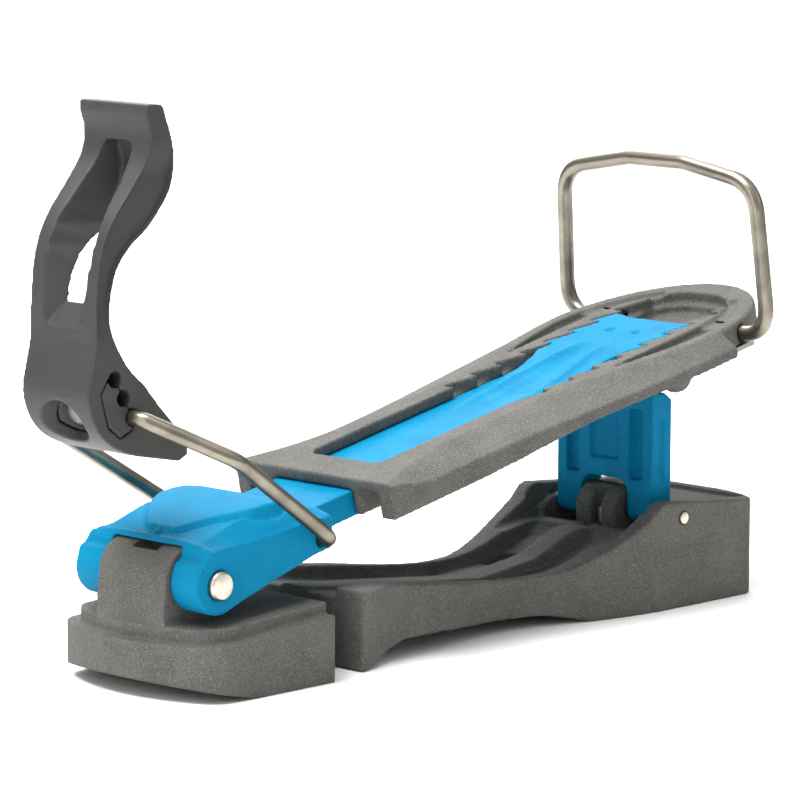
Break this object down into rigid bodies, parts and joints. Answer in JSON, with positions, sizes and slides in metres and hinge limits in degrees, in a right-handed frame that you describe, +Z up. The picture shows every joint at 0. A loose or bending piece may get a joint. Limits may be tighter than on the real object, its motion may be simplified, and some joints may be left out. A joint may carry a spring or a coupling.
{
  "type": "touring binding",
  "caption": "Touring adapter binding: boot-sole shaped base, lifting foot tray on a toe hinge, toe lever with wire bail, heel bail and folding riser.",
  "frame": {"origin": "on the sole plane straight below the axis of the toe pivot pin, in the middle of the width", "axes": "+X from toe to heel, +Z up, +Y to the side that is on the left when looking from the toe to the heel"},
  "size_m": [0.3084, 0.0946, 0.18],
  "materials": {
    "grey_nylon": "grainy moulded grey nylon",
    "blue_nylon": "grainy moulded blue nylon",
    "lever_grey": "satin dark grey moulded plastic",
    "wire_steel": "drawn wire, satin",
    "pin_steel": "turned steel",
    "screw_steel": "zinc plated",
    "plate_steel": "pressed sheet"
  },
  "bodies": {
    "toe base": {"toe_base": "grey_nylon", "length_screw": "screw_steel", "length_nut": "screw_steel", "toe_pin": "pin_steel"},
    "heel base": {"heel_base": "grey_nylon", "base_strap": "plate_steel", "strap_screws": "screw_steel", "riser_pin": "pin_steel", "riser_spring": "plate_steel"},
    "carrier": {"toe_yoke": "blue_nylon", "tray": "grey_nylon", "rail_cover": "plate_steel", "cover_screws": "screw_steel", "bail_keeper": "plate_steel", "keeper_screws": "screw_steel"},
    "riser": {"heel_riser": "blue_nylon"},
    "heel wire": {"heel_bail": "wire_steel"},
    "toe wire": {"toe_bail": "wire_steel"},
    "lever": {"toe_lever": "lever_grey", "lever_clamp": "lever_grey", "lever_bolt": "screw_steel", "lever_nut": "screw_steel"}
  },
  "joints": [
    {"name": "base_length", "type": "slide", "parent": "toe base", "child": "heel base", "axis": [1, 0, 0], "range_m": [0, 0.018]},
    {"name": "carrier_pivot", "type": "hinge", "parent": "toe base", "child": "carrier", "pos_m": [0, 0, 0.0347], "axis": [0, -1, 0], "range_deg": [0, 75]},
    {"name": "riser_fold", "type": "hinge", "parent": "heel base", "child": "riser", "pos_m": [0.208, 0, 0.0303], "axis": [0, -1, 0], "range_deg": [0, 86]},
    {"name": "toe_bail_pivot", "type": "hinge", "parent": "carrier", "child": "toe wire", "pos_m": [0.0436, 0, 0.0434], "axis": [0, 1, 0], "range_deg": [0, 60]},
    {"name": "lever_pivot", "type": "hinge", "parent": "toe wire", "child": "lever", "pos_m": [-0.0237, 0, 0.0872], "axis": [0, 1, 0], "range_deg": [0, 30]},
    {"name": "heel_bail_pivot", "type": "hinge", "parent": "carrier", "child": "heel wire", "pos_m": [0.23565, 0, 0.08975], "axis": [0, -1, 0], "range_deg": [0, 60]}
  ]
}
